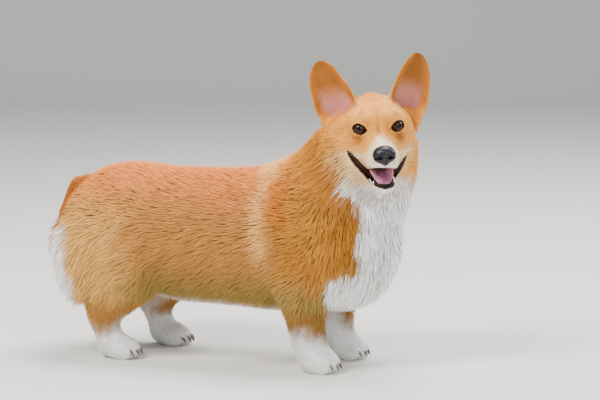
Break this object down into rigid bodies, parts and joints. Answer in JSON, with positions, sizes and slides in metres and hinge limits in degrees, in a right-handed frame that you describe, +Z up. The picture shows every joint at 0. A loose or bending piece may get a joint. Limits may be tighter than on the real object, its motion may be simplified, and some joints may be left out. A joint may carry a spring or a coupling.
{
  "type": "pembroke welsh corgi, life-size still model",
  "caption": "Life-size still model of a standing Pembroke Welsh Corgi, its head turned to its right, mouth open, with a short tail, upright ears and a long coat on chest and thighs.",
  "frame": {"origin": "on the floor, under the middle of the dog's box", "axes": "+X towards the chest, the dog's length; +Y the dog's left side; +Z up"},
  "size_m": [0.5538, 0.216, 0.4402],
  "materials": {
    "tan_coat": "red to fawn fur, dense, soft and dry",
    "white_coat": "white fur, dense, soft and dry",
    "nose_leather": "black pebbled nose leather, moist",
    "tongue": "pink, finely grained, wet",
    "eye": "dark brown, clear and very smooth"
  },
  "bodies": {
    "root": {"ear_left": "tan_coat", "ear_right": "tan_coat", "eye_left": "eye", "eye_right": "eye", "foreleg_left": "tan_coat", "foreleg_right": "tan_coat", "forepaw_left": "white_coat", "forepaw_right": "white_coat", "head": "tan_coat", "hindleg_left": "tan_coat", "hindleg_right": "tan_coat", "hindpaw_left": "white_coat", "hindpaw_right": "white_coat", "lower_jaw": "tan_coat", "neck": "tan_coat", "nose": "nose_leather", "tail": "tan_coat", "tongue": "tongue", "torso_front": "tan_coat", "torso_rear": "tan_coat"}
  },
  "joints": []
}
